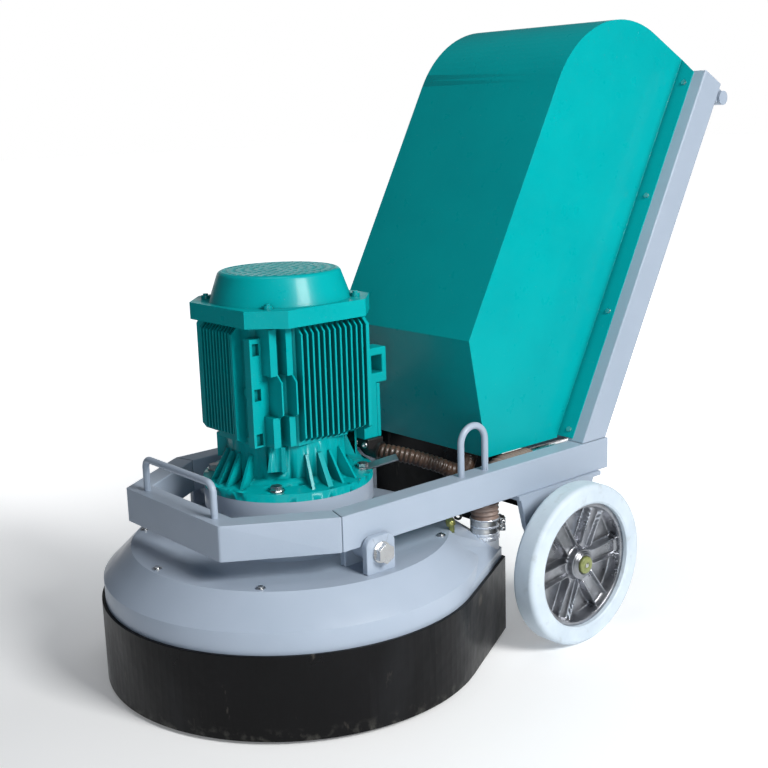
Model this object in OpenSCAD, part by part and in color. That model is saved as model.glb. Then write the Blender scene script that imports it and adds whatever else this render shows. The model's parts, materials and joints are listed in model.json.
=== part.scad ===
// Planetary concrete floor grinder on two wheels. Millimetres, +Z up, the operator stands on the +Y side.
// The origin is on the floor, under the middle of the machine's outline.

/* [Grinding head] */
// Outside radius of the rubber skirt
skirt_r = 340; // [338:1:342]
// Outside radius of the shroud's upright band
shroud_r = 334; // [331:1:335]
// Radius of the shroud's flat top plate
shroud_top_r = 284; // [280:1:290]
// Height of the shroud's top plate
shroud_top = 235; // [233:1:238]
// Gap between the skirt and the floor
skirt_gap = 6; // [3:1:10]
// Radius of a tool disc
disc_r = 139; // [130:1:140]

/* [Motor] */
// Radius of the motor's mounting flange
flange_r = 150; // [148:1:152]
// Diameter of the motor's shaft
motor_shaft_d = 38; // [38:1:42]
// Half width of the fan cowl's band
cowl_a = 132; // [130:1:135]
// Height of the top of the fan cowl
cowl_top = 709; // [706:1:715]

/* [Frame] */
// Depth of the rectangular frame tube
tube_h = 60; // [60:1:62]
// Width of the rectangular frame tube
tube_w = 40; // [38:1:40]
// Wall thickness of the frame tube
tube_wall = 3; // [2:0.5:4]
// Half width over the side rails
rail_x = 250; // [250:1:254]
// Angle that the uprights lean back from vertical
lean_angle = 28; // [26:1:29]
// Length of an upright along its slope
upright_len = 779; // [770:1:785]

/* [Hood] */
// Half width of the hood
hood_x = 183; // [180:1:186]
// Depth of the hood in front of the uprights
hood_depth = 312; // [308:1:316]
// Thickness of the hood's sheet
sheet = 2; // [1.5:0.5:2.5]

/* [Wheels] */
// Diameter of a wheel over its tyre
wheel_d = 300; // [298:1:300]
// Width of a tyre
tyre_w = 48; // [44:1:50]
// Distance from the head's axis back to the wheels' axis
wheel_y = 408; // [404:1:412]

/* [Hidden] */
$fn = 96;
eps = 0.01;
run_gap = 0.05;
braze = 0.02;

teal = [0.02, 0.55, 0.56];
paint = [0.68, 0.73, 0.80];
steel = [0.62, 0.63, 0.65];
dark = [0.10, 0.10, 0.11];
cast = [0.55, 0.56, 0.58];

// Rear handle, which sets the machine's rearmost point
handle_r = 14;
handle_t = tube_h + handle_r + 8;
handle_s = 760;
upright_y = 508;
rail_top = 340;
rail_bottom = rail_top - tube_h;
rear_end = upright_y + handle_s * sin(lean_angle) + handle_t * cos(lean_angle) + handle_r;
// Shift that brings the middle of the outline over the origin
frame_y = (skirt_r - rear_end) / 2;

// Shroud: band, slope and the filled rear corner that carries the hose
band_low = 145;
band_high = 187;
corner_high = 160;
plate_t = 4;
// Directions, from the head's axis, where the corner's two straight walls leave the circle
corner_side = 28;
corner_back = 90;
case_hole_r = 118;
skirt_grip = 0.15;
skirt_top = 150;
spigot = [183, 308];
spigot_r = 22;
spigot_base = 168;
spigot_lip = 195.9;
hose_r = 26;
hose_bend = 60;
hose_bend_z = 252;
hose_z = hose_bend_z + hose_bend;
hose_in_r = spigot_r + 0.3;
port_r = 25;
port_len = 36;
pipe_len = 222;

// Head pivot
pivot_y = -15;
pivot_z = 269;
pivot_r = 10;
lug_t = 12;
lug_w = 60;
lug_over = 28;
lug_in_x = 196;
lug_out_x = 254;
tongue_x = 216;
tongue_t = 28;

// Gears: satellites round a fixed centre gear, and the planetary reduction under the motor
sat_module = 4;
centre_teeth = 48;
sat_teeth = 45;
sat_ring_r = sat_module * (centre_teeth + sat_teeth) / 2;
sat_gear_z = 84;
sat_gear_h = 22;
red_module = 2.5;
sun_teeth = 18;
planet_teeth = 30;
ring_teeth = sun_teeth + 2 * planet_teeth;
planet_ring_r = red_module * (sun_teeth + planet_teeth) / 2;
red_gear_z = 252;
red_gear_h = 26;
pressure_angle = 20;
sat_angles = [for (i = [0:2]) 30 + 120 * i];
planet_angles = [for (i = [0:2]) 120 * i];

// Stack of the rotating parts, from the floor up
segment_h = 10;
disc_h = 10;
plate_z = 60;
plate_h = 18;
plate_r = 292;
spindle_r = 22;
shaft_r = 30;
planet_pin_r = 10;
planet_disc_z = 228;
planet_disc_h = 18;

// Motor stack
flange_z = 337;
flange_h = 14;
housing_z = 424;
housing_top = 630;
housing_a = 119;
housing_flat = 106;
fin_root = 68;
pocket_z = [440, 516, 592];
core_r = 100;
air_gap_r = 62;
cowl_c = 51;
band_top = 659;
cone_r = 122;
cowl_r = 107;
flange_pcd = 265;
bolt_r = 6;
rotor_r = motor_shaft_d / 2;
box_x = 64;
box_y = 125.5;
box_low = 391;
box_depth = 32;

// Hood profile, in the leaning plane of the uprights: [distance behind their front faces, distance up their slope]
hood_r = 207;
hood_top = 803;
kink_s = 88;
hood_foot_y = 316;
strip_x = 221;
seat_gap = 1;

// Splash flap
flap_x = 215;
flap_y = 384;
flap_low = 178;
flap_high = 338;
// Corners cut out below and around the dust hose
flap_notch = [90, 235];
flap_hose_x = 150;

// Wheels
wheel_in_x = 297;
wheel_mid_x = wheel_in_x + tyre_w / 2;
wheel_r = wheel_d / 2;
rim_r = 115;
axle_r = 10;
hub_bore_r = 21;
axle_end = wheel_in_x + tyre_w - 10;

function polar(r, a) = [r * cos(a), r * sin(a)];
function arc(c, r, a0, a1, n) = [for (i = [0:n]) c + polar(r, a0 + (a1 - a0) * i / n)];
// A point [y, z] of the machine, in the leaning plane of the uprights
function leaned(y, z) = [
    (y - upright_y) * cos(lean_angle) - (z - rail_top) * sin(lean_angle),
    (y - upright_y) * sin(lean_angle) + (z - rail_top) * cos(lean_angle)];
// Octagon made by cutting the corners of a square of half width a by c
function cut_square(a, c) = [
    for (q = [0:3]) each [for (p = [[a, c - a], [a, a - c]])
        [p.x * cos(90 * q) - p.y * sin(90 * q), p.x * sin(90 * q) + p.y * cos(90 * q)]]];
// Plan of the shroud at radius r: a circle with one corner filled out to two tangents
function shroud_plan(r) = concat(
    arc([0, 0], r, corner_back, 360 + corner_side, 120),
    [[r * tan((corner_back - corner_side) / 2), r]]);

// Involute gears, with a little play between the flanks
function roll(r, rb) = r <= rb ? 0 : sqrt(pow(r / rb, 2) - 1) * 180 / PI;
function inv(r, rb) = roll(r, rb) - atan(roll(r, rb) * PI / 180);
function half_tooth(r, rp, n, play) =
    90 / n + inv(rp, rp * cos(pressure_angle)) - inv(r, rp * cos(pressure_angle)) - play / rp * 180 / PI;
function gear_points(m, n, play, inner, outer, turn) = let (
    rp = m * n / 2,
    radii = [for (i = [0:4]) rp + inner + (outer - inner) * i / 4]
) [for (k = [0:n - 1]) each concat(
    [for (i = [0:4]) polar(radii[i], turn + 360 * k / n - half_tooth(radii[i], rp, n, play))],
    [for (i = [4:-1:0]) polar(radii[i], turn + 360 * k / n + half_tooth(radii[i], rp, n, play))])];
// Angle of a tooth of gear b, whose centre lies at angle at from gear a's, when gear a has a tooth at 0
function meshed(at, teeth_a, teeth_b) = at + 180 - 180 / teeth_b + at * teeth_a / teeth_b;

module placed() {
    translate([0, frame_y, 0]) children();
}
module both_sides() {
    children();
    mirror([1, 0, 0]) children();
}
// Draws a profile given in [y, z], from x to x + t
module along_x(x, t) {
    translate([x, 0, 0]) rotate([90, 0, 90]) linear_extrude(t) children();
}
module leaning() {
    translate([0, upright_y, rail_top]) rotate([-lean_angle, 0, 0]) children();
}
module x_cylinder(x, r, t) {
    translate([x, 0, 0]) rotate([0, 90, 0]) cylinder(r = r, h = t);
}
module gear(m, n, h, turn) {
    linear_extrude(h) polygon(gear_points(m, n, 0.12, -1.25 * m, m, turn));
}
module hex_head(d, h) {
    cylinder(r = d / sqrt(3), h = h, $fn = 6);
}
module elbow(r, bend, angle) {
    rotate_extrude(angle = angle) translate([bend, 0]) circle(r = r);
}

// ---------------------------------------------------------------- grinding head

// One closed layer of the shroud: band, slope and corner duct, drawn in from the outside by inset
module shroud_body(inset) {
    r = shroud_r - inset;
    top = shroud_top - inset;
    fold = band_high - inset * 0.4;
    low = band_low - inset;
    // The corner's walls run just inside the circle's tangents, so that they cross it cleanly
    w = r - 0.4;
    tip = [w * tan((corner_back - corner_side) / 2), w];
    side_end = polar(w, corner_side);
    back_end = polar(w, corner_back);
    wall = [side_end, tip, back_end, polar(r * 0.7, (corner_side + corner_back) / 2)];
    rotate_extrude($fn = 180) polygon([[0, low], [r, low], [r, fold], [shroud_top_r - inset, top], [0, top]]);
    // The duct slopes from the top plate's edge down to the corner's outer walls
    hull() {
        translate([0, 0, low]) linear_extrude(corner_high - inset - low) polygon(wall);
        translate([0, 0, spigot_base - inset - 1]) linear_extrude(1)
            polygon([0.6 * side_end + 0.4 * tip, tip, 0.4 * tip + 0.6 * back_end]);
        translate([0, 0, top - 1.5]) linear_extrude(1)
            polygon([for (a = [28, 42, 58, 74, 88]) polar(shroud_top_r - inset - 1, a)]);
    }
}

module shroud() {
    color(paint) placed() difference() {
        shroud_body(0);
        shroud_body(plate_t);
        translate([0, 0, shroud_top - 20]) cylinder(r = case_hole_r, h = 40);
        translate([spigot.x, spigot.y, spigot_base - 20]) cylinder(r = hose_r, h = 90);
    }
}
module skirt() {
    color(dark) placed() difference() {
        translate([0, 0, skirt_gap]) linear_extrude(skirt_top - skirt_gap) polygon(shroud_plan(skirt_r));
        translate([0, 0, skirt_gap - 1]) linear_extrude(skirt_top) polygon(shroud_plan(shroud_r + skirt_grip));
    }
}
module shroud_screws() {
    // None under the pivot lugs
    color(steel) placed() for (a = [-137, -92, -47, 39, 88, 133]) rotate(a)
        translate([shroud_top_r - 13, 0, shroud_top]) {
        cylinder(r = 8, h = 1.5);
        cylinder(r = 5, h = 4);
    }
}
module lug_profile(high) {
    difference() {
        union() {
            translate([-lug_w / 2, shroud_top]) square([lug_w, high - shroud_top - lug_w / 4]);
            translate([-lug_w / 4, shroud_top]) square([lug_w / 2, high - shroud_top]);
            for (s = [-1, 1]) translate([s * lug_w / 4, high - lug_w / 4]) circle(r = lug_w / 4);
        }
        translate([0, pivot_z]) circle(r = pivot_r);
    }
}
module pivot_lugs() {
    color(paint) placed() both_sides() translate([0, pivot_y, 0]) {
        along_x(lug_out_x, lug_t) lug_profile(pivot_z + lug_over);
        along_x(lug_in_x, lug_t) lug_profile(pivot_z + lug_over);
    }
}
module pivot_bolts() {
    head_x = lug_out_x + lug_t;
    color(steel) placed() translate([0, pivot_y, pivot_z]) both_sides() {
        difference() {
            x_cylinder(head_x, 18, 3);
            x_cylinder(head_x - 1, pivot_r, 5);
        }
        x_cylinder(lug_in_x - 22, pivot_r, head_x + 3 - lug_in_x + 22);
        translate([head_x + 3, 0, 0]) rotate([0, 90, 0]) hex_head(30, 12);
        difference() {
            translate([lug_in_x - 18, 0, 0]) rotate([0, 90, 0]) hex_head(30, 16);
            x_cylinder(lug_in_x - 20, pivot_r, 22);
        }
    }
}
module gear_case() {
    wall_r = 128;
    color(paint) placed() difference() {
        rotate_extrude() polygon([
            [46, 180], [70, 180], [70, 212], [case_hole_r, 222], [case_hole_r, shroud_top], [155, shroud_top],
            [155, 243], [wall_r, 243], [wall_r, 288], [flange_r, 300], [flange_r, flange_z], [110, flange_z],
            [110, 284], [114, 284], [114, 250], [112, 250], [112, 226], [46, 220]]);
        for (i = [0:3]) rotate(45 + 90 * i) translate([flange_pcd / 2, 0, flange_z - 32]) cylinder(r = bolt_r, h = 40);
    }
}
module ring_gear() {
    rp = red_module * ring_teeth / 2;
    turn = meshed(0, sun_teeth, planet_teeth) * planet_teeth / ring_teeth;
    color(steel) placed() translate([0, 0, red_gear_z]) linear_extrude(red_gear_h) difference() {
        circle(r = 114);
        polygon(gear_points(red_module, ring_teeth, -0.12, -red_module, 1.25 * red_module, turn));
    }
}
module centre_gear() {
    color(steel) placed() difference() {
        union() {
            translate([0, 0, sat_gear_z]) gear(sat_module, centre_teeth, sat_gear_h, 0);
            translate([0, 0, sat_gear_z + sat_gear_h - eps]) cylinder(r = 64, h = 180 - sat_gear_z - sat_gear_h + eps);
        }
        translate([0, 0, sat_gear_z - 1]) cylinder(r = 46, h = 120);
    }
}
module ring(r0, r1, z, h) {
    translate([0, 0, z]) difference() {
        cylinder(r = r1, h = h);
        translate([0, 0, -1]) cylinder(r = r0, h = h + 2);
    }
}
module drive_bearings() {
    color(steel) placed() {
        ring(shaft_r + run_gap, 46, 186, 20);
        ring(shaft_r + run_gap, 46, 120, 20);
        ring(rotor_r + run_gap, 40, 398, 18);
        ring(rotor_r + run_gap, 40, 612, 18);
    }
}

// ---------------------------------------------------------------- motor

module end_shield() {
    bell_low = flange_h + 4;
    bell_top = housing_z - flange_z;
    color(teal) placed() translate([0, 0, flange_z]) difference() {
        union() {
            rotate_extrude() polygon([
                [0, 0], [flange_r, 0], [flange_r, flange_h], [118, bell_low], [106, bell_low + 10], [106, bell_top],
                [0, bell_top]]);
            // Posts above the flange bolts, and a pair of ribs on each side of every post
            for (q = [0:3]) rotate(90 * q + 45) {
                translate([96, -16, bell_low + 26]) cube([26, 32, bell_top - bell_low - 26]);
                for (a = [-52, -40, -26, 26, 40]) rotate(a) translate([0, 2.5, flange_h - 2]) rotate([90, 0, 0])
                    linear_extrude(5) polygon([[98, 0], [143, 0], [110, 56], [98, 56]]);
            }
        }
        translate([0, 0, -1]) cylinder(r = 98, h = 50);
        translate([0, 0, 40]) cylinder(r = 40, h = 60);
        for (q = [0:3]) rotate(45 + 90 * q) translate([flange_pcd / 2, 0, -1]) {
            cylinder(r = 7.5, h = 40);
            translate([0, 0, flange_h + 1]) cylinder(r = 14, h = 80);
        }
    }
}
module flange_bolts() {
    color(steel) placed() for (i = [0:3]) rotate(45 + 90 * i) translate([flange_pcd / 2, 0, flange_z + flange_h]) {
        difference() {
            cylinder(r = 12, h = 2.5);
            translate([0, 0, -1]) cylinder(r = bolt_r, h = 5);
        }
        translate([0, 0, -30]) cylinder(r = bolt_r, h = 32.5);
        translate([0, 0, 2.5]) hex_head(18, 8);
    }
}
// A fin standing out along +X from the housing, its outer corners cut back; y is its middle
module fin(y, tip, t, low, high) {
    cut = 12;
    translate([0, y + t / 2, 0]) rotate([90, 0, 0]) linear_extrude(t) polygon([
        [fin_root, low], [tip - cut, low], [tip, low + cut * 0.6], [tip, high - cut], [tip - cut, high],
        [fin_root, high]]);
}
// A face of the housing that carries the feet: fins, a heavy rib and a bar with square pockets
module foot_face() {
    low = housing_z + 3;
    high = housing_top - 4;
    rotate(-90) {
        for (k = [0:9]) fin(-72 + 9.4 * k, housing_a, 3.4, low + 6, high);
        fin(28, housing_a + 6, 6, low, high);
    }
    translate([58, -housing_a - 1, low]) cube([17, 38, high - low - 16]);
    for (z = pocket_z) translate([45, -102, z]) rotate([90, 0, 0]) hex_head(13, 9);
}
module stator_housing() {
    low = housing_z + 3;
    high = housing_top - 4;
    mid = [476, 550];
    color(teal) placed() difference() {
        union() {
            translate([0, 0, housing_z]) linear_extrude(housing_top - housing_z) polygon(cut_square(housing_flat, 54));
            for (q = [0, 180]) rotate(q) {
                foot_face();
                for (k = [0:11]) fin(-48 + 11.6 * k, 122, 3.6, low + abs(k - 6) * 0.8, high);
                fin(92, 122, 7, low, high);
                // Corner beside the bar: two tall fins over short bosses
                fin(-85, 112, 3.4, mid[0], mid[1]);
                fin(-62, 121, 3.4, mid[0], mid[1]);
                for (z = [[low, mid[0] + 2], [mid[1] - 2, high]]) {
                    translate([62, -98, z[0]]) cube([38, 14, z[1] - z[0]]);
                    translate([62, -72, z[0]]) cube([48, 12, z[1] - z[0]]);
                }
            }
        }
        translate([0, 0, housing_z - 1]) cylinder(r = core_r, h = 180);
        translate([0, 0, housing_z + 170]) cylinder(r = 40, h = 60);
        for (q = [0, 180]) rotate(q) {
            for (z = pocket_z) translate([66, -115, z - 10]) cube([20, 13, 20]);
            for (z = [438, 536]) translate([36, -130, z]) cube([16, 28, 66]);
        }
    }
}
module stator_core() {
    color([0.5, 0.33, 0.2]) placed() ring(air_gap_r, core_r, housing_z + 30, 130);
}
module terminal_box() {
    low = box_low;
    color(teal) placed() difference() {
        union() {
            translate([-box_x, box_y, low]) cube([2 * box_x, box_depth, 106]);
            // Cast loop over the box
            translate([30, box_y, low + 100]) cube([box_x - 30, 56, 64]);
        }
        translate([6 - box_x, box_y + 4, low + 6]) cube([2 * box_x - 12, box_depth, 90]);
        translate([20, box_y + 22, low + 118]) cube([60, 24, 32]);
    }
}
module terminal_box_lid() {
    color(teal) placed() translate([-box_x, box_y + box_depth, box_low]) difference() {
        cube([2 * box_x, 8, 99]);
        translate([8, -1, 8]) cube([2 * box_x - 16, 5, 83]);
    }
}
module fan_cowl() {
    color(teal) placed() difference() {
        union() {
            translate([0, 0, housing_top]) linear_extrude(band_top - housing_top) polygon(cut_square(cowl_a, cowl_c));
            rotate_extrude() polygon(concat([[0, band_top - 1], [cone_r - 2, band_top - 1], [cone_r, band_top]],
                arc([cowl_r - 9, cowl_top - 9], 9, 15, 90, 8), [[0, cowl_top]]));
            for (i = [0:3]) rotate(45 + 90 * i) translate([130, 0, band_top - 1]) {
                cylinder(r = 8, h = 7);
                cylinder(r = 4.5, h = 10);
            }
        }
        translate([0, 0, housing_top - 1]) linear_extrude(band_top - housing_top - 2)
            polygon(cut_square(cowl_a - 3, cowl_c - 1));
        rotate_extrude() polygon(concat([[0, band_top - 5], [cone_r - 5, band_top - 5], [cone_r - 3, band_top]],
            arc([cowl_r - 9, cowl_top - 9], 6, 15, 90, 8), [[0, cowl_top - 3]]));
        for (k = [1:6]) for (i = [0:6 * k - 1]) rotate(60 * i / k)
            translate([15.5 * k, 0, cowl_top - 10]) cylinder(r = 4.6, h = 20);
    }
}

// ---------------------------------------------------------------- rotating parts

module rotor_shaft() {
    color(steel) placed() {
        translate([0, 0, red_gear_z + 1]) gear(red_module, sun_teeth, red_gear_h - 2, 0);
        translate([0, 0, red_gear_z + red_gear_h - 1 - eps])
            cylinder(r = rotor_r, h = 690 - red_gear_z - red_gear_h + 1 + eps);
    }
}
module rotor_core() {
    color(cast) placed() ring(rotor_r, air_gap_r - 1, housing_z + 30, 130);
}
module cooling_fan() {
    color(dark) placed() {
        difference() {
            union() {
                translate([0, 0, 650]) cylinder(r = 34, h = 36);
                translate([0, 0, 650]) cylinder(r = 92, h = 3);
                for (i = [0:7]) rotate(45 * i) translate([30, -2, 650]) cube([62, 4, 34]);
            }
            translate([0, 0, 640]) cylinder(r = rotor_r, h = 60);
        }
    }
}
module drive_shaft() {
    color(steel) placed() difference() {
        union() {
            translate([0, 0, plate_z + plate_h]) cylinder(r = shaft_r, h = planet_disc_z - plate_z - plate_h + eps);
            translate([0, 0, planet_disc_z]) cylinder(r = 82, h = planet_disc_h);
            for (a = planet_angles) rotate(a) translate([planet_ring_r, 0, planet_disc_z]) {
                cylinder(r = planet_pin_r + 6, h = planet_disc_h + 4);
                cylinder(r = planet_pin_r, h = planet_disc_h + red_gear_h + 8);
            }
        }
    }
}
module carrier_plate() {
    color(cast) placed() difference() {
        union() {
            translate([0, 0, plate_z]) cylinder(r = plate_r, h = plate_h);
            for (a = sat_angles) rotate(a) translate([sat_ring_r, 0, plate_z - 14]) cylinder(r = 52, h = 15);
        }
        for (a = sat_angles) rotate(a) translate([sat_ring_r, 0, plate_z - 20])
            cylinder(r = spindle_r + run_gap, h = 60);
    }
}
module at_satellite(i) {
    placed() rotate(sat_angles[i]) translate([sat_ring_r, 0, 0]) rotate(-sat_angles[i]) children();
}
module satellite(i) {
    color(steel) at_satellite(i) {
        translate([0, 0, segment_h + disc_h]) cylinder(r = spindle_r, h = sat_gear_z + eps - segment_h - disc_h);
        translate([0, 0, segment_h + disc_h]) cylinder(r = 48, h = 22);
        translate([0, 0, sat_gear_z])
            gear(sat_module, sat_teeth, sat_gear_h, meshed(sat_angles[i], centre_teeth, sat_teeth));
    }
}
module tool_disc(i) {
    color(cast) at_satellite(i) {
        translate([0, 0, segment_h]) cylinder(r = disc_r, h = disc_h);
        for (k = [0:8]) rotate(40 * k) translate([disc_r - 34, -11, 0]) cube([26, 22, segment_h - braze]);
    }
}
module planet_gear(i) {
    a = planet_angles[i];
    color(steel) placed() rotate(a) translate([planet_ring_r, 0, red_gear_z]) rotate(-a) difference() {
        gear(red_module, planet_teeth, red_gear_h, meshed(a, sun_teeth, planet_teeth));
        translate([0, 0, -1]) cylinder(r = planet_pin_r + run_gap, h = 60);
    }
}

// ---------------------------------------------------------------- frame

// Corners of the frame's plan on the +X side, drawn in by w from the outside
front_x = 145;
front_y = -245;
corner_y = -80;
rail_end = 580;
function unit(v) = v / norm(v);
function mitre(p, d0, d1, w) = let (n0 = [-d0.y, d0.x], n1 = [-d1.y, d1.x]) p + w * (n0 + n1) / (1 + n0 * n1);
corner_dir = unit([rail_x - front_x, corner_y - front_y]);
function front_corner(w) = mitre([front_x, front_y], [1, 0], corner_dir, w);
function side_corner(w) = mitre([rail_x, corner_y], corner_dir, [0, 1], w);
function flip(p) = [-p.x, p.y];

// Two faces of a bent run of tube, at depths a and b from its outer side, as one closed outline
function rail_run(a, b) = [side_corner(a), [rail_x - a, rail_end - a], [rail_x - b, rail_end - a], side_corner(b)];
function front_run(a, b) = let (right = [front_corner(a), side_corner(a), side_corner(b), front_corner(b)])
    concat(right, [for (i = [3:-1:0]) flip(right[i])]);
module hollow_run(outer, inner) {
    difference() {
        translate([0, 0, rail_bottom]) linear_extrude(tube_h) polygon(outer);
        translate([0, 0, rail_bottom + tube_wall]) linear_extrude(tube_h - 2 * tube_wall) polygon(inner);
    }
}
module side_rails() {
    color(paint) placed() {
        both_sides() hollow_run(rail_run(0, tube_w), rail_run(tube_wall, tube_w - tube_wall));
        // Cross plate that joins the rails at the rear, with the hole for the dust pipe
        difference() {
            translate([tube_w - rail_x, rail_end - 16, rail_bottom]) cube([2 * (rail_x - tube_w), 8, tube_h]);
            translate([spigot.x, rail_end, hose_z]) rotate([90, 0, 0]) cylinder(r = spigot_r, h = 40);
        }
    }
}
module front_frame() {
    color(paint) placed() hollow_run(front_run(0, tube_w), front_run(tube_wall, tube_w - tube_wall));
}
module uprights() {
    color(paint) placed() both_sides() difference() {
        leaning() translate([rail_x - tube_w - 2, 0, -60]) cube([tube_w, tube_h, upright_len + 60]);
        leaning() translate([rail_x - tube_w - 2 + tube_wall, tube_wall, -60])
            cube([tube_w - 2 * tube_wall, tube_h - 2 * tube_wall, upright_len + 60 - tube_wall]);
        translate([0, rail_end - 200, rail_top - 200]) cube([rail_x * 2, 400, 200]);
    }
}
// Rubber flap between and below the rails, behind the head
module splash_flap() {
    inner_x = rail_x - tube_w;
    color(dark) placed() translate([0, flap_y + 5, 0]) rotate([90, 0, 0]) linear_extrude(5) polygon([
        [-flap_x, flap_low], [flap_notch.x, flap_low], flap_notch, [flap_x, flap_notch.y], [flap_x, rail_bottom],
        [flap_hose_x, rail_bottom], [flap_hose_x, flap_high], [-inner_x, flap_high], [-inner_x, rail_bottom],
        [-flap_x, rail_bottom]]);
}
module pivot_tongues() {
    color(paint) placed() both_sides() translate([0, pivot_y, 0]) along_x(tongue_x, tongue_t) difference() {
        union() {
            translate([-20, pivot_z]) square([40, rail_bottom - pivot_z]);
            intersection() {
                translate([0, pivot_z]) circle(r = 20);
                translate([-20, pivot_z - 20]) square([40, rail_bottom - pivot_z + 20]);
            }
        }
        translate([0, pivot_z]) circle(r = pivot_r + run_gap);
    }
}
module front_handle() {
    r = 6;
    bend = 16;
    half = 105;
    high = 57;
    color(paint) placed() translate([0, -225, rail_top]) {
        both_sides() {
            translate([half, 0, 0]) cylinder(r = r, h = high - bend);
            translate([half - bend, 0, high - bend]) rotate([90, 0, 0]) elbow(r, bend, 90);
        }
        translate([0, 0, high]) x_cylinder(bend - half, r, 2 * (half - bend));
    }
}
module lifting_eyes() {
    half = 29.5;
    color(paint) placed() both_sides() translate([230, 233, rail_top]) {
        for (s = [-1, 1]) translate([0, s * half, 0]) cylinder(r = 6, h = 56.5);
        translate([0, 0, 56.5 - eps]) rotate([90, 0, 90]) elbow(6, half, 180);
    }
}
module rear_handle() {
    half = rail_x - 4;
    color(paint) placed() leaning() {
        translate([0, handle_t, handle_s]) x_cylinder(-half, handle_r, 2 * half);
        // Saddles that join it to the uprights
        both_sides() translate([rail_x - tube_w + 2, tube_h, handle_s - 13]) cube([28, handle_r + 8, 26]);
    }
}
module wheel_brackets() {
    color(paint) placed() both_sides() {
        translate([rail_x - tube_w + 6, 324, rail_bottom - 8]) cube([tube_w, 228, 8]);
        along_x(rail_x - 6, 12) difference() {
            polygon([[328, rail_bottom - 8], [342, 218], [wheel_y - 34, wheel_r], [wheel_y - 24, wheel_r - 24],
                [wheel_y + 24, wheel_r - 24], [wheel_y + 34, wheel_r], [517, 240], [530, rail_bottom - 8]]);
            translate([wheel_y, wheel_r]) circle(r = axle_r);
        }
    }
}
module axles() {
    color(steel) placed() translate([0, wheel_y, wheel_r]) both_sides() {
        x_cylinder(rail_x - 20, axle_r, axle_end - rail_x + 20);
        x_cylinder(axle_end, 13, 7);
        for (x = [wheel_mid_x - 18, wheel_mid_x]) difference() {
            x_cylinder(x, hub_bore_r - run_gap, 12);
            x_cylinder(x - 1, axle_r, 14);
        }
        difference() {
            x_cylinder(rail_x + 6, 16, wheel_mid_x - 18 - rail_x - 6);
            x_cylinder(rail_x, axle_r, 100);
        }
    }
}
module tyre() {
    color([0.75, 0.79, 0.83]) placed() translate([wheel_in_x, wheel_y, wheel_r]) rotate([0, 90, 0])
        rotate_extrude() polygon(concat(
            [[rim_r, 2], [rim_r + 4, 0]],
            arc([wheel_r - 10, 10], 10, -90, 0, 10),
            arc([wheel_r - 10, tyre_w - 10], 10, 0, 90, 10),
            [[rim_r + 4, tyre_w], [rim_r, tyre_w - 2]]));
}
module hub() {
    spokes = 6;
    color(cast) placed() translate([wheel_in_x, wheel_y, wheel_r]) rotate([0, 90, 0]) difference() {
        union() {
            ring(rim_r - 9, rim_r, 3, tyre_w - 6);
            translate([0, 0, 4]) cylinder(r = 30, h = tyre_w - 12);
            translate([0, 0, 18]) cylinder(r = rim_r - 8, h = 6);
            for (i = [0:spokes - 1]) rotate(360 / spokes * i) translate([24, -4, 8]) cube([rim_r - 30, 8, 24]);
        }
        translate([0, 0, -1]) cylinder(r = hub_bore_r, h = tyre_w - 10);
        translate([0, 0, tyre_w - 14]) cylinder(r = 14, h = 20);
    }
}

// ---------------------------------------------------------------- hood and electrical parts

// Hood outline at depth e inside the sheet, from below the front foot round to the top rear edge and down
function hood_outline(e) = let (
    foot = leaned(hood_foot_y, rail_top),
    kink = [-hood_depth, kink_s],
    n = unit([kink.y - foot.y, foot.x - kink.x]),
    below = foot + 8 * unit(foot - kink) + e * n
) concat(
    [below, [-hood_depth + e, kink_s + e * (1 - n.x) / n.y]],
    arc([hood_r - hood_depth, hood_top - hood_r], hood_r - e, 180, 90, 24),
    [[e / 2, hood_top - e], [e / 2, -10]]);

// Sheet behind the hood in [x, distance up the slope], its upper corners cut down to the uprights' tops
function back_sheet(half, low, high) = [[-half, low], [half, low], [half, upright_len - 4], [hood_x, high],
    [-hood_x, high], [-half, upright_len - 4]];

module hood() {
    tray = [tray_half + 1, tray_t[0] - 1, tray_t[1] + 1];
    inner_x = hood_x - sheet;
    color(teal) placed() difference() {
        leaning() union() {
            along_x(-hood_x, 2 * hood_x) polygon(hood_outline(0));
            rotate([90, 0, 0]) linear_extrude(sheet) polygon(back_sheet(strip_x, 6, hood_top));
        }
        leaning() along_x(-inner_x, 2 * inner_x) polygon(hood_outline(sheet));
        leaning() translate([-tray[0], tray[1], hood_top - 40]) cube([2 * tray[0], tray[2] - tray[1], 80]);
        translate([-rail_x, 0, rail_bottom]) cube([2 * rail_x, rail_end * 2, tube_h + seat_gap]);
    }
}
module hood_screws() {
    color(steel) placed() both_sides() leaning() for (i = [0:3])
        translate([207, -sheet, 22 + 243 * i]) rotate([90, 0, 0]) cylinder(r = 5, h = 3);
}
module back_panel() {
    color(teal) placed() leaning() difference() {
        translate([0, sheet, 0]) rotate([90, 0, 0]) linear_extrude(sheet)
            polygon(back_sheet(206, 20, hood_top - 4));
        for (i = [0:7]) for (s = [-1, 1]) translate([s * 90 - 50, -1, 120 + 14 * i]) cube([100, 5, 6]);
        translate([0, -1, 560]) rotate([-90, 0, 0]) cylinder(r = 12, h = 6);
        translate([-90, -1, 90]) rotate([-90, 0, 0]) cylinder(r = 24, h = 6);
    }
}
module inverter() {
    color(dark) placed() leaning() {
        translate([-160, -20, 60]) cube([320, 3, 640]);
        translate([-110, -190, 240]) cube([220, 170, 360]);
        translate([-120, -100, 110]) cube([70, 80, 90]);
        translate([20, -100, 110]) cube([110, 80, 90]);
    }
}
tray_depth = 46;
tray_half = 149;
tray_t = [-104, -14];
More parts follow.
